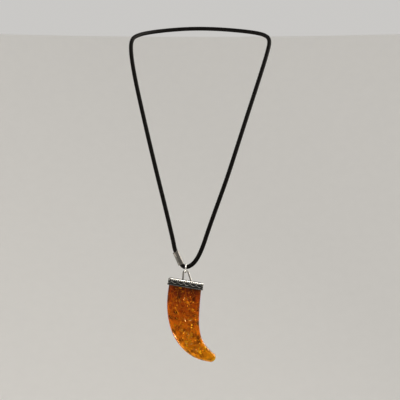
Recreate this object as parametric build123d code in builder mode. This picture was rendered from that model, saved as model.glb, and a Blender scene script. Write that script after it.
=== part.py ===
"""Pendant necklace: a black braided cord with a push-fit barrel clasp and an amber resin claw in a metal cap.

Millimetres. +X is the wearer's left, -Y is the front, +Z is up. The origin is the centre of the neck,
level with the sides of the cord where it turns behind the neck.
"""

import os
from math import cos, pi, radians, sin, tan

from build123d import *

os.makedirs("parts", exist_ok=True)

# Cord
cord_diameter = 3.0

# Clasp: a barrel on the front left, its lower mouth next to the pendant
clasp_mouth = Vector(-13.4, -48.0, -162.5)
clasp_tilt = 66.0
barrel_wall = 0.45
clasp_seam = 0.05
plug_length = 4.2
plug_collar_diameter = 4.3
plug_collar_height = 0.6
collar_rounding = 0.1
barrel_rounding = 0.15
pocket_depth = 2.95
socket_pocket_clearance = 0.05
plug_pocket_clearance = 0.1
glue_thickness = 0.15
socket_web = 0.85
stud_diameter = 2.2
stud_length = 1.6
stud_end_gap = 0.1
chamber_clearance = 0.25
snap_wire = 0.4
snap_gap_degrees = 50.0
snap_groove_width = 0.5
snap_groove_depth = 0.3
snap_height_on_stud = 0.55
snap_play = 0.05

# Jump ring, round the cord beside the clasp
ring_wire = 1.0
ring_play = 0.8
ring_gap_degrees = 3.0
ring_x = -10.45
contact_gap = 0.1

# Wire loop that stands on the cap
loop_wire = 1.2
loop_height = 6.2
loop_top_half = 1.5
loop_left_foot = 1.9
loop_right_foot = 3.5
loop_bend_radius = 1.25

# Cap
cap_tilt = 9.5
cap_length = 24.1
cap_height = 4.7
cap_corner_radius = 1.6
cap_top_rounding = 0.5
cap_wall = 0.7
cap_roof = 0.8
cap_lip_height = 0.7
cap_lip_step = 0.25
loop_from_cap_middle = -0.4

# Claw
claw_thickness = 6.9
claw_drawn_half = 11.1
claw_fit = 0.25
claw_depth_fit = 0.25
claw_tenon_depth = 3.4
tenon_easing = 0.15
shoulder_below_lip = 0.3
claw_front_rounding = 1.7
claw_back_rounding = 0.6
adhesive_inset = 0.3


def on_clasp(distance):
    """The point on the clasp's axis at this distance above the lower mouth."""
    along = Vector(-cos(radians(clasp_tilt)), 0, sin(radians(clasp_tilt)))
    return clasp_mouth + along * distance


clasp_plane = Plane(
    origin=clasp_mouth,
    x_dir=(0, -1, 0),
    z_dir=(-cos(radians(clasp_tilt)), 0, sin(radians(clasp_tilt))),
)
clasp_diameter = cord_diameter + 2 * (socket_pocket_clearance + barrel_wall)
plug_base = pocket_depth + socket_web + stud_end_gap + stud_length
socket_length = plug_base - clasp_seam
clasp_length = plug_base + plug_length
plug_pocket_floor = clasp_length - pocket_depth

# The cord's route, from the socket through the ring, up the wearer's left, round the back
# of the neck and down to the plug. The first and last pairs of points lie on the clasp's axis.
cord_points = [
    on_clasp(pocket_depth - glue_thickness),
    on_clasp(-1.7),
    (-8.3, -48.0, -164.1),
    (-3.7, -48.0, -160.4),
    (0.6, -47.9, -152.2),
    (5.0, -47.3, -138.8),
    (11.5, -45.2, -120.8),
    (18.4, -41.3, -102.0),
    (28.6, -31.6, -70.5),
    (40.4, -16.8, -35.0),
    (47.2, -6.5, -14.0),
    (49.9, 2.5, -3.0),
    (46.6, 15.5, 2.2),
    (38.6, 29.0, 5.8),
    (26.5, 39.5, 8.6),
    (11.0, 45.8, 10.6),
    (-6.0, 46.8, 11.0),
    (-22.0, 42.0, 9.4),
    (-35.3, 32.5, 6.6),
    (-45.0, 19.5, 3.0),
    (-50.4, 5.0, -2.2),
    (-50.0, -6.5, -14.5),
    (-46.2, -17.5, -34.5),
    (-39.2, -30.2, -64.0),
    (-31.5, -40.0, -95.5),
    (-24.1, -45.4, -124.5),
    (-20.4, -47.4, -140.0),
    (-18.9, -47.9, -146.5),
    on_clasp(clasp_length + 1.0),
    on_clasp(plug_pocket_floor + glue_thickness + contact_gap),
]


def corner_radii(points):
    """Each corner's arc is as large as 0.45 of its shorter run allows."""
    points = [Vector(point) for point in points]
    radii = []
    for before, corner, after in zip(points, points[1:], points[2:]):
        run_in = corner - before
        run_out = after - corner
        half_turn = radians(run_in.get_angle(run_out)) / 2
        radii.append(0.45 * min(run_in.length, run_out.length) / tan(half_turn))
    return radii


radii = corner_radii(cord_points)

with BuildPart() as cord:
    with BuildLine() as cord_line:
        FilletPolyline(*cord_points, radius=radii)
    with BuildSketch(Plane(origin=cord_line.line @ 0, z_dir=cord_line.line % 0)):
        Circle(cord_diameter / 2)
    sweep()
cord.part.label = "cord"
cord_length = cord_line.wires()[0].length
section_volume = pi * cord_diameter**2 / 4 * cord_length
print("cord radii", [round(radius, 1) for radius in radii])
print("cord length", round(cord_length, 1), "volume over section x length", cord.part.volume / section_volume)

# Clasp socket: a pocket for the cord's end below, a chamber for the stud above
with BuildPart() as clasp_socket:
    with BuildSketch(clasp_plane):
        Circle(clasp_diameter / 2)
    extrude(amount=socket_length)
    fillet(clasp_socket.edges().filter_by(GeomType.CIRCLE), radius=barrel_rounding)
    with BuildSketch(clasp_plane):
        Circle(cord_diameter / 2 + socket_pocket_clearance)
    extrude(amount=pocket_depth, mode=Mode.SUBTRACT)
    with BuildSketch(clasp_plane.offset(pocket_depth + socket_web)):
        Circle(stud_diameter / 2 + chamber_clearance)
    extrude(amount=socket_length, mode=Mode.SUBTRACT)
clasp_socket.part.label = "clasp_socket"

# Clasp plug: a collared barrel with a pocket for the cord's other end, and a grooved stud
snap_height = plug_base - stud_length + snap_height_on_stud
with BuildPart() as clasp_plug:
    with BuildSketch(clasp_plane.offset(plug_base)):
        Circle(clasp_diameter / 2)
    extrude(amount=plug_length)
    with BuildSketch(clasp_plane.offset(clasp_length - plug_collar_height)):
        Circle(plug_collar_diameter / 2)
    extrude(amount=plug_collar_height)
    collar_edges = clasp_plug.edges().filter_by(GeomType.CIRCLE).group_by(SortBy.RADIUS)[-1]
    fillet(collar_edges, radius=collar_rounding)
    with BuildSketch(clasp_plane.offset(plug_pocket_floor)):
        Circle(cord_diameter / 2 + plug_pocket_clearance)
    extrude(amount=pocket_depth, mode=Mode.SUBTRACT)
    with BuildSketch(clasp_plane.offset(plug_base - stud_length)):
        Circle(stud_diameter / 2)
    extrude(amount=stud_length)
    with BuildSketch(clasp_plane.offset(snap_height - snap_groove_width / 2)):
        Circle(stud_diameter / 2)
        Circle(stud_diameter / 2 - snap_groove_depth, mode=Mode.SUBTRACT)
    extrude(amount=snap_groove_width, mode=Mode.SUBTRACT)
clasp_plug.part.label = "clasp_plug"


def wire_ring(plane, mean_radius, wire_radius, gap_degrees):
    """A round wire bent into a ring about the plane's Z axis, open by a gap centred on its -X side."""
    with BuildPart() as ring:
        outward = plane.x_dir.rotate(Axis((0, 0, 0), plane.z_dir), 180 + gap_degrees / 2)
        with BuildSketch(Plane(origin=plane.origin, x_dir=outward, z_dir=outward.cross(plane.z_dir))):
            with Locations((mean_radius, 0)):
                Circle(wire_radius)
        revolve(axis=Axis(plane.origin, plane.z_dir), revolution_arc=360 - gap_degrees)
    return ring.part


snap_mean_radius = stud_diameter / 2 - snap_groove_depth + snap_play + snap_wire / 2
snap_ring = wire_ring(clasp_plane.offset(snap_height), snap_mean_radius, snap_wire / 2, snap_gap_degrees)
snap_ring.label = "snap_ring"

# Adhesive at the bottom of each cord pocket
with BuildPart() as socket_glue:
    with BuildSketch(clasp_plane.offset(pocket_depth - glue_thickness)):
        Circle(cord_diameter / 2)
    extrude(amount=glue_thickness)
socket_glue.part.label = "socket_glue"

with BuildPart() as plug_glue:
    with BuildSketch(clasp_plane.offset(plug_pocket_floor)):
        Circle(cord_diameter / 2)
    extrude(amount=glue_thickness)
plug_glue.part.label = "plug_glue"

# Jump ring: it hangs on the top of the cord, square to it
cord_low_z = cord_points[2][2]
ring_inner_diameter = cord_diameter + loop_wire + ring_play
ring_mean_radius = (ring_inner_diameter + ring_wire) / 2
ring_centre = Vector(
    ring_x,
    clasp_mouth.Y,
    cord_low_z + cord_diameter / 2 + contact_gap - ring_inner_diameter / 2,
)
ring_plane = Plane(origin=ring_centre, x_dir=(0, -1, 0), z_dir=(1, 0, 0))
jump_ring = wire_ring(ring_plane, ring_mean_radius, ring_wire / 2, ring_gap_degrees)
jump_ring.label = "jump_ring"

# Cap frame: local x runs along the cap, local y to the back, local z square to its roof
loop_top_z = ring_centre.Z - ring_inner_diameter / 2 + contact_gap + loop_wire / 2
loop_foot_z = loop_top_z - loop_height
cap_along = Vector(cos(radians(cap_tilt)), 0, -sin(radians(cap_tilt)))
cap_up = Vector(sin(radians(cap_tilt)), 0, cos(radians(cap_tilt)))
cap_origin = Vector(ring_x, clasp_mouth.Y, loop_foot_z) - cap_along * loop_from_cap_middle
cap_plane = Plane(origin=cap_origin, x_dir=cap_along, z_dir=cap_up)
front_plane = Plane(origin=cap_origin, x_dir=cap_along, z_dir=(0, -1, 0))

# Wire loop, its two legs through the cap's roof
leg_share = (loop_height + cap_roof) / loop_height
left_end = loop_top_half + (loop_left_foot - loop_top_half) * leg_share
right_end = loop_top_half + (loop_right_foot - loop_top_half) * leg_share
loop_plane = Plane(origin=(ring_x, clasp_mouth.Y, loop_foot_z), x_dir=(1, 0, 0), z_dir=(0, -1, 0))
with BuildPart() as hanging_loop:
    with BuildLine(loop_plane) as loop_line:
        FilletPolyline(
            (-left_end, -cap_roof),
            (-loop_top_half, loop_height),
            (loop_top_half, loop_height),
            (right_end, -cap_roof),
            radius=loop_bend_radius,
        )
    with BuildSketch(Plane(origin=loop_line.line @ 0, z_dir=loop_line.line % 0)):
        Circle(loop_wire / 2)
    sweep()
hanging_loop.part.label = "hanging_loop"

# Cap: a pressed metal shell, open below, with a thin lip round its mouth
cap_inside_length = cap_length - 2 * cap_wall
cap_inside_depth = claw_thickness + 2 * claw_depth_fit
cap_depth = cap_inside_depth + 2 * cap_wall
cap_inside_radius = cap_corner_radius - cap_wall
with BuildPart() as cap:
    with BuildSketch(cap_plane):
        RectangleRounded(cap_length, cap_depth, cap_corner_radius)
    extrude(amount=-cap_height)
    fillet(cap.faces().sort_by(Axis(cap_origin, cap_up))[-1].edges(), radius=cap_top_rounding)
    with BuildSketch(cap_plane.offset(cap_lip_height - cap_height)):
        RectangleRounded(
            cap_length + 2 * cap_lip_step,
            cap_depth + 2 * cap_lip_step,
            cap_corner_radius + cap_lip_step,
        )
    extrude(amount=-cap_lip_height)
    with BuildSketch(cap_plane.offset(-cap_roof)):
        RectangleRounded(cap_inside_length, cap_inside_depth, cap_inside_radius)
    extrude(amount=-cap_height, mode=Mode.SUBTRACT)
    add(hanging_loop.part, mode=Mode.SUBTRACT)
cap.part.label = "cap"

# Claw: a flat-backed horn shape with rounded edges, and a tenon that fills the cap
claw_top_half = cap_inside_length / 2 - claw_fit
claw_top_z = -(cap_height - claw_tenon_depth)
claw_scale = claw_top_half / claw_drawn_half


def on_claw(along, up):
    """A point of the outline, which is drawn for a root of claw_drawn_half and grows with the cap."""
    return (along * claw_scale, up * claw_scale)


with BuildPart() as claw:
    with BuildSketch(front_plane.offset(-claw_thickness / 2)):
        with BuildLine():
            claw_edge = Spline(
                (-claw_top_half, claw_top_z),
                on_claw(-10.7, -14.0),
                on_claw(-8.1, -26.7),
                on_claw(-2.6, -38.0),
                on_claw(6.6, -47.1),
                on_claw(16.4, -51.3),
                on_claw(24.6, -52.0),
                on_claw(27.6, -50.9),
                on_claw(28.2, -48.4),
                on_claw(26.6, -46.0),
                on_claw(19.0, -40.0),
                on_claw(14.9, -32.6),
                on_claw(12.3, -19.0),
                (claw_top_half, claw_top_z),
                tangents=[(0, -1), (0, 1)],
            )
            Line(claw_edge @ 1, claw_edge @ 0)
        make_face()
    extrude(amount=claw_thickness)
    front_edge = claw.faces().sort_by(Axis.Y)[0].edges().filter_by(GeomType.BSPLINE)
    fillet(front_edge, radius=claw_front_rounding)
    back_edge = claw.faces().sort_by(Axis.Y)[-1].edges().filter_by(GeomType.BSPLINE)
    fillet(back_edge, radius=claw_back_rounding)
    with BuildSketch(cap_plane.offset(-cap_height - shoulder_below_lip)):
        RectangleRounded(cap_length, cap_depth, cap_corner_radius)
        RectangleRounded(
            2 * (claw_top_half - tenon_easing),
            claw_thickness - 2 * tenon_easing,
            cap_inside_radius,
            mode=Mode.SUBTRACT,
        )
    extrude(amount=cap_height, mode=Mode.SUBTRACT)
claw.part.label = "claw"

# Adhesive between the claw's top and the cap's roof
with BuildPart() as cap_adhesive:
    with BuildSketch(cap_plane.offset(-cap_roof)):
        RectangleRounded(
            cap_inside_length - 2 * adhesive_inset,
            cap_inside_depth - 2 * adhesive_inset,
            cap_inside_radius,
        )
    extrude(amount=claw_top_z + cap_roof)
    add(hanging_loop.part, mode=Mode.SUBTRACT)
cap_adhesive.part.label = "cap_adhesive"

pieces = {
    "cord": cord.part,
    "clasp_socket": clasp_socket.part,
    "clasp_plug": clasp_plug.part,
    "snap_ring": snap_ring,
    "socket_glue": socket_glue.part,
    "plug_glue": plug_glue.part,
    "jump_ring": jump_ring,
    "hanging_loop": hanging_loop.part,
    "cap": cap.part,
    "cap_adhesive": cap_adhesive.part,
    "claw": claw.part,
}
for name, piece in pieces.items():
    export_step(piece, f"parts/{name}.step")
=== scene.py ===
import math
import bpy
import numpy as np
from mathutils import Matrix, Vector


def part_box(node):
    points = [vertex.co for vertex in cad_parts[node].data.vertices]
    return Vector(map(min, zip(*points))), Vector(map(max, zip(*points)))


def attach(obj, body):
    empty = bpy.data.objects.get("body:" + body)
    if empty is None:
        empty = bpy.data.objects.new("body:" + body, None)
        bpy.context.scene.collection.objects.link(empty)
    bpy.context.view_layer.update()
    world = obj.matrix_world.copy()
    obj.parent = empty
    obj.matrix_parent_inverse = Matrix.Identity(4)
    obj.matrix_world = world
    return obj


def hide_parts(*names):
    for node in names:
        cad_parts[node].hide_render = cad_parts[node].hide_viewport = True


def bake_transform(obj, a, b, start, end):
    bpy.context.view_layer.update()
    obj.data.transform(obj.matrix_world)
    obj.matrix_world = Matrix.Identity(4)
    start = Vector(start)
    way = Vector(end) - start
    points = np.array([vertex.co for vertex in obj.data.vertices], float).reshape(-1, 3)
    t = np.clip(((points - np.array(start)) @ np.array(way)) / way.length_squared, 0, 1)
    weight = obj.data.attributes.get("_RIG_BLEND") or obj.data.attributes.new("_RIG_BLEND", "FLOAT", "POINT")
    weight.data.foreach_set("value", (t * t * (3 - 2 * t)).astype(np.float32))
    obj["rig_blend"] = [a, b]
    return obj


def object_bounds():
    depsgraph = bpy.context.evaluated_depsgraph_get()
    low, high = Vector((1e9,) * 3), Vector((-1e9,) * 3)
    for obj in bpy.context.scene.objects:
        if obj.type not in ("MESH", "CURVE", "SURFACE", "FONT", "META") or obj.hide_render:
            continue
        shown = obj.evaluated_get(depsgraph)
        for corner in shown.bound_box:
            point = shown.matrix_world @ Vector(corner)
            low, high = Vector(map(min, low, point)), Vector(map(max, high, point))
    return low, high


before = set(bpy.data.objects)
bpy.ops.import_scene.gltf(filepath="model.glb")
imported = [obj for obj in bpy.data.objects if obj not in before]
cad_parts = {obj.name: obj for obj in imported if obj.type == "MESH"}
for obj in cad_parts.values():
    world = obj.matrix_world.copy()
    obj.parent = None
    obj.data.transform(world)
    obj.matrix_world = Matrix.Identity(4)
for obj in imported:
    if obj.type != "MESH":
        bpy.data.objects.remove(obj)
cadLow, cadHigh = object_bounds()
mm = 0.001
print("frame loaded")


# small helpers for meshes

def gridQuads(rows, columns, closeColumns=True):
    # quad (i, j) joins the grid points i, i+1 and j, j+1; a closed grid wraps its last column to the first
    i, j = np.meshgrid(np.arange(rows - 1), np.arange(columns if closeColumns else columns - 1), indexing="ij")
    k = (j + 1) % columns
    here, below = i * columns, (i + 1) * columns
    return np.stack([here + j, below + j, below + k, here + k], -1).reshape(-1, 4)


def newObject(name, points, faces, smooth=True):
    mesh = bpy.data.meshes.new(name)
    mesh.from_pydata(np.asarray(points).tolist(), [], [list(map(int, face)) for face in faces])
    mesh.polygons.foreach_set("use_smooth", np.full(len(mesh.polygons), smooth))
    mesh.update()
    piece = bpy.data.objects.new(name, mesh)
    bpy.context.scene.collection.objects.link(piece)
    return piece


def closedTube(points, quads, rows, columns):
    # both ends of a tube grid are closed by a fan round the middle of the end ring
    first, last = points[:columns].mean(0), points[-columns:].mean(0)
    n = len(points)
    j = np.arange(columns)
    k = (j + 1) % columns
    base = (rows - 1) * columns
    fans = [(n, a, b) for a, b in zip(j, k)] + [(n + 1, base + b, base + a) for a, b in zip(j, k)]
    return np.vstack([points, first, last]), [*quads, *fans]


def outward(points, faces):
    # the signed volume of a closed mesh is positive when its faces point outwards
    points = np.asarray(points)
    triangles = np.array([(f[0], f[k], f[k + 1]) for f in faces for k in range(1, len(f) - 1)])
    a, b, c = (points[triangles[:, k]] for k in range(3))
    volume = np.einsum("ij,ij->i", a, np.cross(b, c)).sum()
    return faces if volume > 0 else [tuple(reversed(f)) for f in faces]


def alongLine(line, distances):
    # points at these distances along a line of points
    steps = np.concatenate([[0], np.cumsum(np.linalg.norm(np.diff(line, axis=0), axis=1))])
    return np.stack([np.interp(distances, steps, line[:, k]) for k in range(line.shape[1])], 1)


def smoothLine(points, firstWay, lastWay, count):
    # a cubic spline through the points; the slopes at them are solved so that its bending has no jumps
    points = np.asarray(points, float)
    steps = np.linalg.norm(np.diff(points, axis=0), axis=1)
    system, wanted = np.eye(len(points)), np.zeros_like(points)
    wanted[0], wanted[-1] = unit(np.array(firstWay, float)), unit(np.array(lastWay, float))
    for k in range(1, len(points) - 1):
        a, b = 1 / steps[k - 1], 1 / steps[k]
        system[k, k - 1:k + 2] = a, 2 * (a + b), b
        wanted[k] = 3 * (a * a * (points[k] - points[k - 1]) + b * b * (points[k + 1] - points[k]))
    slopes = np.linalg.solve(system, wanted)
    knots = np.concatenate([[0], np.cumsum(steps)])
    place = np.linspace(0, knots[-1], count)
    k = np.clip(np.searchsorted(knots, place, side="right") - 1, 0, len(steps) - 1)
    h, t = steps[k][:, None], ((place - knots[k]) / steps[k])[:, None]
    return ((2 * t**3 - 3 * t**2 + 1) * points[k] + (t**3 - 2 * t**2 + t) * h * slopes[k]
            + (3 * t**2 - 2 * t**3) * points[k + 1] + (t**3 - t**2) * h * slopes[k + 1])


def lengthOf(line):
    return float(np.linalg.norm(np.diff(line, axis=0), axis=1).sum())


def unit(vectors):
    return vectors / np.linalg.norm(vectors, axis=-1, keepdims=True)


# materials

class Wire:
    # a socket that can be used in sums, so that shader maths reads as an expression
    def __init__(self, finish, socket):
        self.finish = finish
        self.socket = socket

    def __add__(self, other):
        return self.finish.maths("ADD", self, other)

    def __radd__(self, other):
        return self.finish.maths("ADD", other, self)

    def __sub__(self, other):
        return self.finish.maths("SUBTRACT", self, other)

    def __rsub__(self, other):
        return self.finish.maths("SUBTRACT", other, self)

    def __mul__(self, other):
        return self.finish.maths("MULTIPLY", self, other)

    def __rmul__(self, other):
        return self.finish.maths("MULTIPLY", other, self)


class Finish:
    # one material with its Principled shader; constants go on the shader's own sockets
    def __init__(self, name, **constants):
        self.material = bpy.data.materials.new(name)
        self.material.use_nodes = True
        self.tree = self.material.node_tree
        self.shader = self.tree.nodes["Principled BSDF"]
        for socket, value in constants.items():
            self.shader.inputs[socket.replace("_", " ")].default_value = value

    def node(self, kind, settings=None, sockets=None, output=0):
        made = self.tree.nodes.new(kind)
        for key, value in (settings or {}).items():
            if key == "stops":
                self.setStops(made.color_ramp, value)
            else:
                setattr(made, key, value)
        for key, value in (sockets or {}).items():
            if isinstance(value, Wire):
                self.tree.links.new(value.socket, made.inputs[key])
            else:
                made.inputs[key].default_value = value
        return Wire(self, made.outputs[output])

    def setStops(self, ramp, stops):
        while len(ramp.elements) < len(stops):
            ramp.elements.new(0.5)
        for element, (place, colour) in zip(ramp.elements, stops):
            element.position = place
            element.color = (*colour, 1)

    def maths(self, operation, a, b=0.0):
        return self.node("ShaderNodeMath", {"operation": operation}, {0: a, 1: b})

    def place(self):
        return self.node("ShaderNodeTexCoord", output="Object")

    def noise(self, scale, detail=3.0, where=None, roughness=0.5):
        sockets = {"Vector": where or self.place(), "Scale": scale, "Detail": detail, "Roughness": roughness}
        return self.node("ShaderNodeTexNoise", {}, sockets)

    def ramp(self, factor, stops):
        return self.node("ShaderNodeValToRGB", {"stops": stops}, {"Fac": factor})

    def spread(self, value, low, high, newLow=0.0, newHigh=1.0):
        sockets = {"Value": value, "From Min": low, "From Max": high, "To Min": newLow, "To Max": newHigh}
        return self.node("ShaderNodeMapRange", {"clamp": True}, sockets)

    def mixColour(self, factor, a, b, blend="MIX"):
        settings = {"data_type": "RGBA", "blend_type": blend}
        return self.node("ShaderNodeMix", settings, {0: factor, 6: a, 7: b}, output=2)

    def bump(self, height, strength, distance):
        return self.node("ShaderNodeBump", {}, {"Height": height, "Strength": strength, "Distance": distance})

    def feed(self, **wires):
        for socket, wire in wires.items():
            self.tree.links.new(wire.socket, self.shader.inputs[socket.replace("_", " ")])
        return self.material


def braidFinish():
    f = Finish("waxed_black_braid", Specular_IOR_Level=0.03)
    uv = f.node("ShaderNodeUVMap", {"uv_map": "plies"})
    over = f.node("ShaderNodeAttribute", {"attribute_name": "rightPly"}, output="Fac")
    relief = f.node("ShaderNodeAttribute", {"attribute_name": "relief"}, output="Fac")
    # fine threads run along each ply: the right-hand plies read u, the left-hand ones v
    split = f.tree.nodes.new("ShaderNodeSeparateXYZ")
    f.tree.links.new(uv.socket, split.inputs[0])
    u, v = Wire(f, split.outputs[0]), Wire(f, split.outputs[1])
    threadsRight = f.maths("SINE", u * 44.0)
    threadsLeft = f.maths("SINE", v * 44.0)
    threads = threadsRight * over + threadsLeft * (1.0 - over)
    worn = f.noise(900.0, 4.0)
    height = threads * 0.25 + worn
    # the colour darkens where the plies sink under each other, a painted shade in the braid's hollows, and varies at
    # random with the wear noise
    colour = f.ramp(relief * 0.7 + worn * 0.5, [(0.15, (0.0010, 0.0009, 0.0009)), (0.65, (0.0036, 0.0031, 0.0028)),
                                                (1.0, (0.009, 0.0078, 0.007))])
    return f.feed(Base_Color=colour, Roughness=f.spread(worn, 0.3, 0.7, 0.42, 0.66),
                  Normal=f.bump(height, 0.55, 0.00006))


def polishedFinish(name, colour, rough=(0.10, 0.24)):
    f = Finish(name, Metallic=1.0)
    cloud = f.noise(260.0, 4.0)
    scratchPlace = f.node("ShaderNodeMapping", {}, {"Vector": f.place(), "Scale": (1.0, 1.0, 14.0)})
    scratches = f.noise(1800.0, 2.0, scratchPlace)
    dull = f.ramp(cloud, [(0.35, tuple(0.72 * c for c in colour)), (0.62, colour)])
    return f.feed(Base_Color=dull, Roughness=f.spread(cloud * 0.6 + scratches * 0.4, 0.35, 0.65, *rough),
                  Normal=f.bump(scratches, 0.08, 0.00002))


def antiqueFinish():
    f = Finish("antiqued_silver")
    relief = f.node("ShaderNodeAttribute", {"attribute_name": "relief"}, output="Fac")
    grain = f.noise(1500.0, 4.0)
    tarnish = f.noise(340.0, 3.0)
    height = relief + tarnish * 0.30 - 0.15
    colour = f.ramp(height, [(0.15, (0.005, 0.005, 0.004)), (0.50, (0.018, 0.017, 0.014)),
                             (0.74, (0.17, 0.165, 0.15)), (0.92, (0.80, 0.78, 0.73))])
    return f.feed(Base_Color=colour, Roughness=f.spread(height, 0.1, 0.8, 0.62, 0.22),
                  Metallic=f.spread(height, 0.05, 0.4, 0.55, 1.0), Normal=f.bump(grain, 0.25, 0.00005))


def resinFinish(top, tip):
    # clear resin, tinted from red-brown under the cap to yellow at the tip
    # the specular tint browns and dims the resin's reflections, a painted reflection standing in for dark
    # surroundings
    f = Finish("amber_resin", Transmission_Weight=1.0, IOR=1.5, Specular_Tint=(0.55, 0.40, 0.17, 1))
    split = f.tree.nodes.new("ShaderNodeSeparateXYZ")
    f.tree.links.new(f.place().socket, split.inputs[0])
    down = f.spread(Wire(f, split.outputs[2]), tip, top)
    clouds = f.noise(160.0, 4.0)
    tint = f.ramp(down + (clouds - 0.5) * 0.4, [(0.0, (0.93, 0.66, 0.002)), (0.35, (0.92, 0.53, 0.002)),
                                                (0.75, (0.87, 0.38, 0.002)), (1.0, (0.58, 0.12, 0.001))])
    ripple = f.noise(260.0, 2.0)
    return f.feed(Base_Color=tint, Roughness=f.spread(f.noise(700.0), 0.4, 0.75, 0.02, 0.08),
                  Normal=f.bump(ripple, 0.12, 0.0002))


def heartFinish(top, tip):
    # the dense, crazed heart of the casting: dark pools, orange clouds and pale cracks between the cells
    f = Finish("crazed_heart", Specular_IOR_Level=0.08)
    split = f.tree.nodes.new("ShaderNodeSeparateXYZ")
    f.tree.links.new(f.place().socket, split.inputs[0])
    down = f.spread(Wire(f, split.outputs[2]), tip, top)
    wander = f.noise(150.0, 3.0)
    warped = f.node("ShaderNodeVectorMath", {"operation": "MULTIPLY_ADD"},
                    {0: f.node("ShaderNodeTexNoise", {}, {"Vector": f.place(), "Scale": 300.0}, output="Color"),
                     1: (0.0016, 0.0016, 0.0016), 2: f.place()})
    cells = f.node("ShaderNodeTexVoronoi", {"feature": "DISTANCE_TO_EDGE"}, {"Vector": warped, "Scale": 210.0})
    shards = f.node("ShaderNodeTexVoronoi", {"feature": "F1"}, {"Vector": warped, "Scale": 330.0})
    clouds = f.noise(240.0, 4.0, roughness=0.6)
    base = f.ramp(down + (wander - 0.5) * 0.35, [(0.0, (0.70, 0.34, 0.004)), (0.3, (0.78, 0.31, 0.004)),
                                                 (0.65, (0.55, 0.17, 0.006)), (0.9, (0.24, 0.050, 0.004)),
                                                 (1.0, (0.11, 0.018, 0.002))])
    shade = f.ramp(clouds * 0.85 + shards * 0.25, [(0.38, (0.14, 0.09, 0.07)), (0.50, (0.64, 0.57, 0.50)),
                                                   (0.60, (1.0, 1.0, 0.92))])
    crack = f.spread(cells, 0.0, 0.05, 0.45, 0.0)
    colour = f.mixColour(crack, f.mixColour(1.0, base, shade, "MULTIPLY"), (0.95, 0.50, 0.08, 1))
    return f.feed(Base_Color=colour, Roughness=f.spread(clouds, 0.3, 0.7, 0.5, 0.25),
                  Normal=f.bump(clouds + shards * 0.6, 0.8, 0.0008))


def flakeFinish():
    f = Finish("gold_spangle", Metallic=0.5)
    fleck = f.noise(700.0, 2.0)
    colour = f.ramp(fleck, [(0.3, (0.95, 0.42, 0.05)), (0.5, (1.0, 0.62, 0.18)), (0.68, (1.0, 0.82, 0.55))])
    return f.feed(Base_Color=colour, Roughness=f.spread(fleck, 0.3, 0.7, 0.12, 0.3))


def glowingGlintFlakeFinish():
    # these spangles glow though they are no lamp: a painted glint of light caught just under the front face
    f = Finish("pale_spangle_glowing_glint", Emission_Strength=0.55)
    fleck = f.noise(700.0, 2.0)
    colour = f.ramp(fleck, [(0.35, (1.0, 0.60, 0.26)), (0.65, (1.0, 0.84, 0.62))])
    return f.feed(Base_Color=colour, Emission_Color=colour, Roughness=f.spread(fleck, 0.3, 0.7, 0.15, 0.3))


def featherGlowFinish():
    # the gold streaks are the feathers' own colour; their emission is a painted glow, light the cracks seem to catch
    f = Finish("gold_feather_painted_glow", Metallic=0.2, Emission_Strength=0.16)
    streak = f.noise(420.0, 4.0)
    colour = f.ramp(streak, [(0.38, (0.34, 0.10, 0.008)), (0.55, (0.80, 0.38, 0.05)), (0.68, (1.0, 0.78, 0.40))])
    return f.feed(Base_Color=colour, Emission_Color=colour, Roughness=f.spread(streak, 0.3, 0.7, 0.4, 0.15))


def glueFinish():
    f = Finish("clear_adhesive", Transmission_Weight=0.4, IOR=1.45)
    specks = f.noise(1200.0, 3.0)
    colour = f.ramp(specks, [(0.35, (0.62, 0.55, 0.38)), (0.65, (0.82, 0.78, 0.62))])
    return f.feed(Base_Color=colour, Roughness=f.spread(specks, 0.3, 0.7, 0.15, 0.4))


# camera, light and floor

studio = {
    "cameraPlace": (-0.7 * mm, -900 * mm, -118.5 * mm),
    "lens": 112.8,
    "floorBelow": 620 * mm,  # from the underside of the necklace down to the floor
    "floorRadius": 3.0,
    "flatRadius": 1.5,  # past this the floor starts to rise
    "wallColour": (0.82, 0.81, 0.79),
    "lamps": {  # place, size and power
        "key": ((0.25, -0.80, 0.95), 0.45, 7.0),
        "fill": ((-0.75, -0.25, -0.75), 0.3, 9.0),
        "rim": ((0.90, 0.35, 0.35), 0.8, 15.0),
    },
    "lampTarget": (0, -0.03, -0.12),
    "lampColour": (1.0, 0.95, 0.87),
    "skyColour": (0.95, 0.935, 0.91, 1),
    "skyStrength": 0.62,
}


def makeCamera():
    camera = bpy.data.objects.new("camera", bpy.data.cameras.new("camera"))
    bpy.context.scene.collection.objects.link(camera)
    camera.location = studio["cameraPlace"]
    camera.rotation_euler = (math.pi / 2, 0, 0)
    camera.data.lens = studio["lens"]
    camera.data.clip_start, camera.data.clip_end = 0.01, 20
    bpy.context.scene.camera = camera


def areaLight(name, place, size, power):
    light = bpy.data.lights.new(name, "AREA")
    light.energy, light.size = power, size
    light.color = studio["lampColour"]
    lamp = bpy.data.objects.new(name, light)
    bpy.context.scene.collection.objects.link(lamp)
    lamp.location = place
    lamp.rotation_euler = (Vector(studio["lampTarget"]) - lamp.location).to_track_quat("-Z", "Y").to_euler()
    lamp.visible_camera = False


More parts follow.
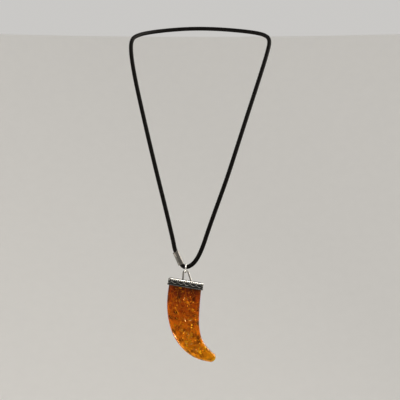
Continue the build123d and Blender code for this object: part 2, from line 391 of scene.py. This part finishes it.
def makeStudio():
    # the floor is flat near the object and bends up into a low wall: its height grows with the square of the
    # distance past the flat radius
    radius = np.linspace(0, studio["floorRadius"], 60)[:, None]
    angle = np.linspace(0, 2 * math.pi, 96, endpoint=False)[None, :]
    height = cadLow.z - studio["floorBelow"] + 0.55 * np.clip(radius - studio["flatRadius"], 0, None) ** 2
    points = np.stack([radius * np.cos(angle), radius * np.sin(angle), height + 0 * angle], -1).reshape(-1, 3)
    floor = newObject("floor", points, gridQuads(60, 96))
    f = Finish("pale_paper", Roughness=0.85)
    grain = f.noise(40.0, 4.0)
    shade = [tuple(c * k for c in studio["wallColour"]) for k in (0.985, 1.0)]
    floor.data.materials.append(f.feed(Base_Color=f.ramp(grain, [(0.3, shade[0]), (0.7, shade[1])])))
    for name, (place, size, power) in studio["lamps"].items():
        areaLight(name, place, size, power)
    world = bpy.data.worlds.new("studio_sky")
    world.use_nodes = True
    background = world.node_tree.nodes["Background"]
    background.inputs["Color"].default_value = studio["skyColour"]
    background.inputs["Strength"].default_value = studio["skyStrength"]
    bpy.context.scene.world = world
    bpy.context.scene.view_settings.view_transform = "Standard"


makeCamera()
makeStudio()
print("camera and studio made")


# cord

cordMake = {
    "diameter": 3.0 * mm,
    "plies": 8,           # plies in each direction round the cord
    "crossing": 1.55 * mm,  # distance along the cord from one crossing to the next
    "relief": 0.20 * mm,
    "lift": 0.32,  # how far a ply rises over and sinks under the others, as a share of its own height
    "step": 0.28 * mm,
    "around": 40,
    "seamTowards": (0.0, 0.0, -60.0 * mm),  # the grid's seam faces this place inside the necklace
    "bendStart": 60 * mm,  # how far from its end the strand starts to follow a pulled clasp half
    "bendEnd": 10 * mm,    # how far from its end it follows the clasp half entirely
}
claspMouth = np.array([-13.4, -48.0, -162.5]) * mm
claspTilt = math.radians(66)
claspUp = np.array([-math.cos(claspTilt), 0, math.sin(claspTilt)])


def onClasp(distance):
    return tuple((claspMouth + claspUp * distance * mm) / mm)


# the route, in millimetres: out of the socket, through the ring, up, round the neck and down to the plug
cordRoute = [
    onClasp(2.8),
    onClasp(-1.7),
    (-8.3, -48.0, -164.1),
    (-3.7, -48.0, -160.4),
    (0.6, -47.9, -152.2),
    (5.0, -47.3, -138.8),
    (11.5, -45.2, -120.8),
    (18.4, -41.3, -102.0),
    (28.6, -31.6, -70.5),
    (40.4, -16.8, -35.0),
    (47.2, -6.5, -14.0),
    (49.9, 2.5, -3.0),
    (46.6, 15.5, 2.2),
    (38.6, 29.0, 5.8),
    (26.5, 39.5, 8.6),
    (11.0, 45.8, 10.6),
    (-6.0, 46.8, 11.0),
    (-22.0, 42.0, 9.4),
    (-35.3, 32.5, 6.6),
    (-45.0, 19.5, 3.0),
    (-50.4, 5.0, -2.2),
    (-50.0, -6.5, -14.5),
    (-46.2, -17.5, -34.5),
    (-39.2, -30.2, -64.0),
    (-31.5, -40.0, -95.5),
    (-24.1, -45.4, -124.5),
    (-20.4, -47.4, -140.0),
    (-18.9, -47.9, -146.5),
    onClasp(10.7),
    onClasp(7.0),
]


def routeLine(route):
    # the points of one smooth NURBS curve with the route's points as its control points
    curve = bpy.data.curves.new("cord_route", "CURVE")
    curve.dimensions = "3D"
    curve.resolution_u = 24
    spline = curve.splines.new("NURBS")
    spline.points.add(len(route) - 1)
    for point, place in zip(spline.points, route):
        point.co = (*(c * mm for c in place), 1)
    spline.order_u = 3
    spline.use_endpoint_u = True
    holder = bpy.data.objects.new("cord_route", curve)
    bpy.context.scene.collection.objects.link(holder)
    bpy.context.view_layer.update()
    mesh = bpy.data.meshes.new_from_object(holder)
    line = np.array([v.co for v in mesh.vertices], float)
    bpy.data.objects.remove(holder)
    bpy.data.meshes.remove(mesh)
    return line


def makeCord():
    # a braided tube: p and q count the right-hand and left-hand plies, each ply's height is cos(pi * its own
    # fraction), and it is lifted or sunk by cos(pi * the other count), so that plies pass over and under in turn
    line = routeLine(cordRoute)
    length = lengthOf(line)
    rows, columns = int(length / cordMake["step"]), cordMake["around"]
    along = np.linspace(0, length, rows)
    centre = alongLine(line, along)
    tangent = unit(np.gradient(centre, axis=0))
    side = np.array(cordMake["seamTowards"]) - centre
    side = unit(side - (side * tangent).sum(1, keepdims=True) * tangent)
    third = np.cross(tangent, side)
    turn = np.arange(columns) / columns
    p = cordMake["plies"] * turn[None, :] + along[:, None] / cordMake["crossing"]
    q = cordMake["plies"] * turn[None, :] - along[:, None] / cordMake["crossing"]
    lift = cordMake["lift"]
    right = np.cos(math.pi * (p - np.round(p))) + lift * np.cos(math.pi * q) * (1 - 2 * (np.round(p) % 2))
    left = np.cos(math.pi * (q - np.round(q))) - lift * np.cos(math.pi * p) * (1 - 2 * (np.round(q) % 2))
    relief = np.clip(np.maximum(right, left) / (1 + lift), 0, 1)
    radius = cordMake["diameter"] / 2 - cordMake["relief"] * (1 - relief)
    angle = 2 * math.pi * turn[None, :, None]
    outwards = np.cos(angle) * side[:, None] + np.sin(angle) * third[:, None]
    points = centre[:, None] + radius[..., None] * outwards
    quads = gridQuads(rows, columns)
    allPoints, faces = closedTube(points.reshape(-1, 3), quads, rows, columns)
    cord = newObject("cord_braid", allPoints, faces)
    mesh = cord.data
    ends = np.zeros(2)
    # the relief attribute also drives the painted shade in the hollows between the plies
    for name, values in (("relief", relief), ("rightPly", (right > left).astype(float))):
        mesh.attributes.new(name, "FLOAT", "POINT").data.foreach_set("value", np.concatenate([values.ravel(), ends]))
    # own map: u counts right-hand plies and v left-hand ones, each face carried past the seam
    i, j = np.meshgrid(np.arange(rows - 1), np.arange(columns), indexing="ij")
    rowsOf, columnsOf = np.stack([i, i + 1, i + 1, i], -1), np.stack([j, j, j + 1, j + 1], -1)
    turnOf, alongOf = cordMake["plies"] * columnsOf / columns, along[rowsOf] / cordMake["crossing"]
    uv = np.stack([turnOf + alongOf, turnOf - alongOf], -1).reshape(-1, 2)
    loops = np.zeros((len(mesh.loops), 2))
    loops[: len(uv)] = uv
    mesh.uv_layers.new(name="plies").data.foreach_set("uv", loops.ravel())
    mesh.materials.append(braidFinish())
    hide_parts("cord")
    bendStart, bendEnd = length - cordMake["bendStart"], length - cordMake["bendEnd"]
    firstBent, lastBent = centre[np.searchsorted(along, [bendStart, bendEnd])]
    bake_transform(cord, "necklace", "clasp_half", start=tuple(firstBent), end=tuple(lastBent))
    # the two strands hang side by side, so the share goes by distance along the cord and not by place
    share = np.clip((along - bendStart) / (bendEnd - bendStart), 0, 1)
    share = share * share * (3 - 2 * share)
    weights = np.concatenate([np.repeat(share, columns), [share[0], share[-1]]])
    mesh.attributes["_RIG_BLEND"].data.foreach_set("value", weights.astype(np.float32))
    print("cord made,", round(length / mm, 1), "mm long")


makeCord()


# pendant frame

pendantMake = {
    "tilt": math.radians(9.5),
    "capBesideLoop": 0.4 * mm,
    "loopHeight": 6.2 * mm,
    "loopWire": 1.2 * mm,
}
ringLow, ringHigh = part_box("jump_ring")
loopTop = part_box("hanging_loop")[1].z
capAlong = np.array([math.cos(pendantMake["tilt"]), 0, -math.sin(pendantMake["tilt"])])
capUp = np.array([math.sin(pendantMake["tilt"]), 0, math.cos(pendantMake["tilt"])])
loopFoot = np.array([(ringLow.x + ringHigh.x) / 2, (ringLow.y + ringHigh.y) / 2,
                     loopTop - pendantMake["loopWire"] / 2 - pendantMake["loopHeight"]])
capOrigin = loopFoot + capAlong * pendantMake["capBesideLoop"]


def inPendant(across, depth, up):
    # across the cap, depth towards the back and up, all measured from the middle of the cap's roof
    towardsBack = np.array([0, 1.0, 0])
    return capOrigin + across[..., None] * capAlong + depth[..., None] * towardsBack + up[..., None] * capUp


# claw

clawMake = {
    "topHalf": 11.1 * mm,
    # the outline in millimetres along and up from the middle of the cap's roof, outer edge then inner edge
    "outerEdge": [(-11.1, -1.4), (-10.7, -14.0), (-8.1, -26.7), (-2.6, -38.0), (6.6, -47.1), (16.4, -51.3),
                  (24.6, -52.0)],
    "innerEdge": [(11.1, -1.4), (12.3, -19.0), (14.9, -32.6), (19.0, -40.0), (26.6, -46.0)],
    "halfDepth": 3.45 * mm,
    "tipHalfDepth": 2.7 * mm,
    "frontRounding": 2.2 * mm,
    "backRounding": 0.7 * mm,
    "dome": 0.35 * mm,
    "rows": 150,
    "tipRows": 24,
    "tipReach": 2.75 * mm,
    "heartInset": 1.45 * mm,
    "heartTopInset": 2.0 * mm,
    "crumple": 0.34,  # share of the heart's depth
    "crumpleWaves": 14,
    "crumpleTightness": 620,  # radians in a metre, the spread of the waves' tightness
    "flakes": 280,
    "glowingGlintFlakes": 24,
    "flakeSides": 9,
    "sheetThickness": 0.03 * mm,
    "seed": 11,
    # each feather: start and end along and up, width, depth towards the front, and how far it is twisted
    "feathers": [
        ((8.3, -31.3), (7.2, -40.0), 2.6, -2.85, 0.4),
        ((-4.4, -19.0), (-1.2, -24.6), 1.6, -2.9, 0.6),
        ((2.6, -13.6), (6.8, -17.8), 2.0, -2.9, 0.3),
        ((1.6, -27.5), (-1.0, -32.4), 1.5, -2.9, 0.6),
        ((12.3, -45.4), (8.6, -44.0), 1.5, -2.7, 0.5),
        ((18.5, -47.6), (15.0, -44.2), 1.3, -2.6, 0.5),
    ],
}


def clawEdges(rows):
    # both edges are smooth lines through the outline's points, cut into the same number of equal steps
    outer = smoothLine(clawMake["outerEdge"], (0, -1), (1, 0), 400) * mm
    inner = smoothLine(clawMake["innerEdge"], (0, -1), (1, -0.65), 400) * mm
    share = np.linspace(0, 1, rows)
    return alongLine(outer, share * lengthOf(outer)), alongLine(inner, share * lengthOf(inner))


def sectionColumns():
    # a rounded rectangle as columns: how far along each flat, which way the corner points, and its kind
    corner = np.linspace(0, math.pi / 2, 9)
    flat = np.linspace(-1, 1, 26)[1:-1]
    side = np.linspace(-1, 1, 7)[1:-1]
    one = np.ones
    parts = [  # along, level, arc cosine, arc sine, share of front rounding
        (flat, -one(len(flat)), 0 * flat, -one(len(flat)), one(len(flat))),
        (one(9), -one(9), np.sin(corner), -np.cos(corner), one(9)),
        (one(len(side)), side, one(len(side)), 0 * side, (1 - side) / 2),
        (one(9), one(9), np.cos(corner), np.sin(corner), 0 * corner),
        (flat[::-1], one(len(flat)), 0 * flat, one(len(flat)), 0 * flat),
        (-one(9), one(9), -np.sin(corner), np.cos(corner), 0 * corner),
        (-one(len(side)), side[::-1], -one(len(side)), 0 * side, (1 + side) / 2),
        (-one(9), -one(9), -np.cos(corner), -np.sin(corner), one(9)),
    ]
    return [np.concatenate([part[k] for part in parts]) for k in range(5)]


def clawShape(inset=0.0, topInset=0.0):
    # sections between the two edges, each a rounded rectangle with a slightly domed front; past the last
    # section the half width and depth shrink as a quarter circle to close the blunt tip
    outer, inner = clawEdges(clawMake["rows"])
    middle, half = (outer + inner) / 2, (inner - outer) / 2
    share = np.linspace(0, 1, clawMake["rows"])
    depth = clawMake["halfDepth"] + (clawMake["tipHalfDepth"] - clawMake["halfDepth"]) * share**1.5
    turn = np.linspace(0, math.pi / 2, clawMake["tipRows"])[1:-1]
    ahead = unit(middle[-1:] - middle[-4:-3])
    reach = clawMake["tipReach"] - inset * 0.8
    middle = np.vstack([middle, middle[-1] + ahead * reach * np.sin(turn)[:, None]])
    half = np.vstack([half, half[-1] * np.cos(turn)[:, None]])
    depth = np.concatenate([depth, depth[-1] * np.cos(turn) ** 0.6])
    keep = middle[:, 1] < middle[0, 1] - topInset + 1e-9
    middle, half, depth = middle[keep], half[keep], depth[keep]
    width = np.linalg.norm(half, axis=1)
    direction = half / width[:, None]
    width = np.clip(width - inset, width * 0.25, None)
    depth = np.clip(depth - inset * 0.72, depth * 0.3, None)
    along, level, c, s, front = sectionColumns()
    rounding = clawMake["backRounding"] + (clawMake["frontRounding"] - clawMake["backRounding"]) * front[None, :]
    rounding = np.minimum(rounding, 0.92 * np.minimum(width, depth)[:, None])
    across = along * (width[:, None] - rounding) + rounding * c
    back = level * (depth[:, None] - rounding) + rounding * s
    dome = clawMake["dome"] * width[:, None] / clawMake["topHalf"]
    back = back - dome * np.clip(1 - (across / width[:, None]) ** 2, 0, 1) * (s < -0.5)
    flat = middle[:, None, :] + across[..., None] * direction[:, None, :]
    return flat, back


def solidFromSections(name, flat, back):
    rows, columns = back.shape
    points = inPendant(flat[..., 0], back, flat[..., 1]).reshape(-1, 3)
    points, faces = closedTube(points, gridQuads(rows, columns), rows, columns)
    return newObject(name, points, outward(points, faces))


def makeClaw():
    flat, back = clawShape()
    claw = solidFromSections("claw_resin", flat, back)
    low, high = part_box("claw")
    claw.data.materials.append(resinFinish(high.z, low.z))
    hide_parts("claw")
    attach(claw, "pendant")

    # the heart is the same shape set in, crumpled by a sum of sines in three directions
    flat, back = clawShape(clawMake["heartInset"], clawMake["heartTopInset"])
    rng = np.random.default_rng(clawMake["seed"])
    crumple = np.zeros(back.shape)
    for k in range(clawMake["crumpleWaves"]):
        wave = rng.normal(size=3) * clawMake["crumpleTightness"]
        crumple += np.sin(flat[..., 0] * wave[0] + flat[..., 1] * wave[1] + back * wave[2] + rng.uniform(0, 6.28))
    crumple = crumple / clawMake["crumpleWaves"]
    calm = np.clip((len(back) - 12 - np.arange(len(back))) / 30, 0, 1)[:, None]  # smooth again near the tip
    back = back * (1 + clawMake["crumple"] * crumple * calm)
    heart = solidFromSections("claw_heart", flat, back)
    heart.data.materials.append(heartFinish(high.z, low.z))
    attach(heart, "pendant")
    print("claw made")


def makeFlakes():
    # spangles: small dished discs, each a centre, an inner ring and an outer ring with an uneven rim
    rng = np.random.default_rng(clawMake["seed"] + 1)
    n, sides = clawMake["flakes"], clawMake["flakeSides"]
    isGlowingGlint = np.arange(n) < clawMake["glowingGlintFlakes"]
    flat, back = clawShape(0.5 * mm, 3.0 * mm)
    rows, columns = back.shape
    row = rng.integers(2, rows - 40, n)
    middle = flat[row].mean(1)
    rim = flat[row, rng.integers(0, columns, n)]
    share = rng.uniform(0.0, 0.86, n)[:, None]
    place = middle + (rim - middle) * share
    depth = np.abs(back[row]).max(1) * rng.uniform(-0.93, -0.62, n)
    depth = np.where(isGlowingGlint, -0.95 * np.abs(back[row]).max(1), depth)
    centre = inPendant(place[:, 0], depth, place[:, 1])
    size = (0.2 + 1.5 * rng.uniform(0, 1, n) ** 3) * mm
    # the first ones are the pale spangles, whose glow is a painted glint: small and just under the front face
    size = np.where(isGlowingGlint, rng.uniform(0.28, 0.55, n) * mm, size)
    normal = unit(rng.normal(size=(n, 3)) * np.array([0.6, 0.5, 0.6]) + np.array([0, -0.9, 0]))
    side = unit(np.cross(normal, rng.normal(size=(n, 3))))
    third = np.cross(normal, side)
    angle = np.arange(sides) * 2 * math.pi / sides
    ring = np.cos(angle)[None, :, None] * side[:, None] + np.sin(angle)[None, :, None] * third[:, None]
    uneven = rng.uniform(0.75, 1.15, (n, sides, 1))
    radius = size[:, None, None]
    inner = centre[:, None] + ring * radius * 0.5 * uneven
    outer = centre[:, None] + ring * radius * uneven + normal[:, None] * radius * 0.18
    sheet = np.concatenate([centre[:, None], inner, outer], 1)
    points = np.concatenate([sheet, sheet - normal[:, None] * clawMake["sheetThickness"]], 1)
    count, k = 2 * sides + 1, np.arange(sides)
    m = (k + 1) % sides
    upper = [(0, 1 + a, 1 + b) for a, b in zip(k, m)]
    upper += [(1 + a, 1 + sides + a, 1 + sides + b, 1 + b) for a, b in zip(k, m)]
    lower = [tuple(count + v for v in reversed(face)) for face in upper]
    edge = 1 + sides
    rimFaces = [(edge + a, count + edge + a, count + edge + b, edge + b) for a, b in zip(k, m)]
    pattern = upper + lower + rimFaces
    faces = [tuple(v + f * 2 * count for v in face) for f in range(n) for face in pattern]
    flakes = newObject("claw_spangles", points.reshape(-1, 3), faces)
    flakes.data.materials.append(flakeFinish())
    flakes.data.materials.append(glowingGlintFlakeFinish())
    flakes.data.polygons.foreach_set("material_index", np.repeat(isGlowingGlint, len(pattern)).astype(np.int32))
    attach(flakes, "pendant")
    print("spangles made")


def thinSheet(grid, thick):
    # two copies of a grid of points, set apart by its own thickness and joined round the edge
    rows, columns = grid.shape[:2]
    along, over = np.gradient(grid, axis=0), np.gradient(grid, axis=1)
    back = grid - unit(np.cross(along, over)) * thick
    points = np.concatenate([grid.reshape(-1, 3), back.reshape(-1, 3)])
    front = gridQuads(rows, columns, False)
    n = rows * columns
    index = np.arange(n).reshape(rows, columns)
    rim = np.concatenate([index[0], index[1:, -1], index[-1, -2::-1], index[-2:0:-1, 0]])
    after = np.roll(rim, -1)
    sides = [(a, b, n + b, n + a) for a, b in zip(rim, after)]
    return points, [*map(tuple, front), *[tuple(n + v for v in reversed(face)) for face in front.tolist()], *sides]


def makeFeathers():
    # stress feathers: narrow sheets that run from one point to another, bowed by half a sine wave and
    # waved across, widest in the middle
    u = np.linspace(0, 1, 22)[:, None]
    v = np.linspace(-1, 1, 7)[None, :]
    points, faces, count = [], [], 0
    for start, end, width, depth, twist in clawMake["feathers"]:
        start, end = np.array(start) * mm, np.array(end) * mm
        way = end - start
        normal = np.array([-way[1], way[0]]) / np.hypot(*way)
        bow = 0.08 * np.hypot(*way) * np.sin(math.pi * u) + 0.3 * mm * np.sin(5 * u + 2.5 * v + twist)
        half = width * mm / 2 * np.sin(math.pi * (0.06 + 0.88 * u)) ** 0.7
        shift = bow + v * half * math.cos(twist)
        place = start + way * u[..., None] + normal * shift[..., None]
        deep = depth * mm + v * half * math.sin(twist) + 0.12 * mm * np.sin(14 * u + twist)
        sheet, sheetFaces = thinSheet(inPendant(place[..., 0], deep, place[..., 1]), clawMake["sheetThickness"])
        points.append(sheet)
        faces += [tuple(vertex + count for vertex in face) for face in sheetFaces]
        count += len(sheet)
    feathers = newObject("claw_feathers", np.concatenate(points), faces)
    feathers.data.materials.append(featherGlowFinish())
    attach(feathers, "pendant")
    print("feathers made")


makeClaw()
makeFlakes()
makeFeathers()


# cap

capMake = {
    "halfLength": 12.05 * mm,
    "halfDepth": 4.4 * mm,
    "corner": 1.6 * mm,
    "height": 4.7 * mm,
    "lip": 0.7 * mm,
    "lipStep": 0.25 * mm,
    "wall": 0.7 * mm,
    "roof": 0.8 * mm,
    "topRounding": 0.5 * mm,
    "relief": 0.36 * mm,
    "vineWave": 4.2 * mm,
    "bead": 1.35 * mm,
    # heights on the band, in millimetres above the lip's lower edge
    "vineHeight": 2.02,
    "highLeaf": 2.50,
    "lowLeaf": 1.56,
    "beadHeight": 3.78,
    "lowRail": 0.98,
    "highRail": 3.08,
    # how light the antiqued metal is, from 0 in the hollows to 1 on the ridges; the top edge's tone is a painted
    # highlight of light from above
    "insideTone": 0.25,
    "lipTone": 0.30,
    "topEdgePaintedHighlight": 0.90,
    "roofTone": 0.70,
    "columns": 496,
}


def roundedPath(count):
    # evenly spaced points of a rounded rectangle as (skeleton point, outward direction, distance along it)
    a, b = capMake["halfLength"] - capMake["corner"], capMake["halfDepth"] - capMake["corner"]
    arc = math.pi / 2 * capMake["corner"]
    stretches = [2 * a, arc, 2 * b, arc, 2 * a, arc, 2 * b, arc]
    ends = np.concatenate([[0], np.cumsum(stretches)])
    s = np.linspace(0, ends[-1], count, endpoint=False)
    stretch = np.clip(np.searchsorted(ends, s, side="right") - 1, 0, 7)
    part = (s - ends[stretch]) / np.array(stretches)[stretch]
    quarter, bend = stretch // 2, stretch % 2
    angle = -math.pi / 2 + quarter * math.pi / 2 + bend * part * math.pi / 2
    outwards = np.stack([np.cos(angle), np.sin(angle)], 1)
    corners = np.array([[-a, -b], [a, -b], [a, b], [-a, b]])
    start, end = corners[quarter], corners[(quarter + 1) % 4]
    skeleton = np.where(bend[:, None] == 1, end, start + (end - start) * part[:, None])
    return skeleton, outwards, s, ends[-1]


def capRelief(s, total, up):
    # a running vine: a ridge along a sine wave with a curled leaf in each hollow, between two thin rails, and a
    # row of beads above; every ridge is a bell curve of the distance from its line; 0 is deep and 1 is proud
    waves = round(total / capMake["vineWave"])
    phase = 2 * math.pi * waves * s[None, :] / total
    z = up[:, None] / mm
    curl = 0.25 * np.cos(phase)
    vine = np.exp(-((z - capMake["vineHeight"] - 0.50 * np.sin(phase)) / 0.23) ** 2)
    besideHigh, besideLow = (np.sin(phase / 2 + turns * math.pi / 4) / 0.30 for turns in (3, 1))
    leafHigh = np.exp(-((z - capMake["highLeaf"] + curl) / 0.36) ** 2 - besideHigh**2)
    leafLow = np.exp(-((z - capMake["lowLeaf"] - curl) / 0.34) ** 2 - besideLow**2)
    veins = 1 - 0.4 * np.exp(-(np.sin(phase) / 0.10) ** 2)
    leaves = np.maximum(leafHigh, leafLow) * veins
    beads = round(total / capMake["bead"])
    beadPart = (beads * s[None, :] / total) % 1 - 0.5
    beadRow = np.sqrt(np.clip(1 - (beadPart / 0.46) ** 2 - ((z - capMake["beadHeight"]) / 0.56) ** 2, 0, None))
    lowRail = np.exp(-((z - capMake["lowRail"]) / 0.12) ** 2)
    highRail = np.exp(-((z - capMake["highRail"]) / 0.09) ** 2)
    rails = 0.6 * (lowRail + highRail) + 0 * beadRow
    return np.clip(np.maximum(np.maximum(vine, leaves) * 0.85, np.maximum(beadRow, rails)), 0, 1)


def makeCap():
    # the outer face runs from the lip up the relief and over the rounded top edge to the middle of the roof,
    # the inner face from the lip up the wall to the roof's underside
    count = capMake["columns"]
    skeleton, outwards, s, total = roundedPath(count)
    roofTurn = capMake["height"] - capMake["topRounding"]
    up = np.concatenate([np.linspace(0, 0.72, 8) * mm, np.linspace(0.76 * mm, roofTurn, 44)])
    bulge = capRelief(s, total, up)
    isLip = up[:, None] <= capMake["lip"] + 1e-9
    edge = np.sin(np.clip(up / mm / 0.7, 0, 1) * math.pi)[:, None] ** 0.5 * capMake["lipStep"]
    offset = np.where(isLip, edge, -capMake["relief"] * (1 - bulge) + 0.1 * mm)
    relief = np.where(isLip, capMake["lipTone"] + 0.35 * (edge > 0.8 * capMake["lipStep"]), bulge)
    corner = capMake["corner"]
    wall = skeleton[None] + outwards[None] * (corner + offset[..., None])
    wallUp = np.broadcast_to(up[:, None], offset.shape)

    turn = np.linspace(0, math.pi / 2, 8)[1:]
    over = capMake["topRounding"]
    overOffset = -capMake["relief"] * 0.5 - over * (1 - np.cos(turn))
    overRing = skeleton[None] + outwards[None] * (corner + overOffset[:, None, None])
    overUp = np.repeat((capMake["height"] - over + over * np.sin(turn))[:, None], count, 1)
    spineHalf = capMake["halfLength"] - capMake["halfDepth"]
    spine = np.stack([np.clip(skeleton[:, 0], -spineHalf, spineHalf), 0 * skeleton[:, 0]], 1)
    inwards = np.linspace(0, 1, 22)[1:, None, None]
    roofRing = overRing[-1][None] * (1 - inwards) + spine[None] * inwards
    dimple = np.sin(roofRing[..., 0] * 2100) * np.sin(roofRing[..., 1] * 2300) * 0.04 * mm
    fade = np.clip(inwards[..., 0] * 6, 0, 1)
    roofUp = capMake["height"] + dimple * fade

    innerRing = skeleton[None] + outwards[None] * (corner - capMake["wall"])
    ceilingUp = capMake["height"] - capMake["roof"]
    innerUp = np.linspace(0, ceilingUp, 5)[:, None]
    innerRings = np.repeat(innerRing, 5, 0)
    half = np.array([0.5, 1.0])[:, None, None]
    ceiling = innerRing * (1 - half) + spine[None] * half

    flat = np.concatenate([ceiling[::-1], innerRings[::-1], wall, overRing, roofRing])
    heights = np.concatenate([
        np.full((2, count), ceilingUp), np.repeat(innerUp[::-1], count, 1), wallUp, overUp, roofUp])
    # the rounded top edge gets a high flat tone, a painted highlight of the light from above
    insideTone, topEdgePaintedHighlight = (np.full((7, count), capMake[key]) for key in ("insideTone", "topEdgePaintedHighlight"))
    tone = np.concatenate([insideTone, relief, topEdgePaintedHighlight, capMake["roofTone"] + 0 * roofUp])
    rows = len(flat)
    points = inPendant(flat[..., 0], flat[..., 1], heights - capMake["height"]).reshape(-1, 3)
    faces = outward(points, [tuple(f) for f in gridQuads(rows, count)])
    cap = newObject("cap_relief", points, faces)
    cap.data.attributes.new("relief", "FLOAT", "POINT").data.foreach_set("value", tone.ravel())
    cap.data.materials.append(antiqueFinish())
    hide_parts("cap")
    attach(cap, "pendant")
    print("cap made")


makeCap()


# finishes for the pieces that keep their CAD shape

# the clasp steel's base colour is far darker than steel, a painted shade standing in for the dark surroundings it
# reflects
claspSteelPaintedDark = polishedFinish("clasp_steel_painted_dark_reflection", (0.17, 0.158, 0.142), (0.12, 0.26))
ringSilver = polishedFinish("ring_silver", (0.92, 0.90, 0.86), (0.12, 0.22))
# the loop is a darkened copy of the ring's silver, a painted shade standing in for the dark surroundings it reflects
loopSilverPaintedDark = polishedFinish("loop_silver_painted_dark_reflection", (0.34, 0.325, 0.30), (0.10, 0.22))
springSteel = polishedFinish("spring_steel", (0.55, 0.55, 0.56), (0.25, 0.4))
glue = glueFinish()
nodeFinish = {
    "clasp_socket": claspSteelPaintedDark,
    "clasp_plug": claspSteelPaintedDark,
    "jump_ring": ringSilver,
    "hanging_loop": loopSilverPaintedDark,
    "snap_ring": springSteel,
    "socket_glue": glue,
    "plug_glue": glue,
    "cap_adhesive": glue,
}
for name, material in nodeFinish.items():
    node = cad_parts[name]
    for slot in node.material_slots:
        slot.material = material
print("finishes set")
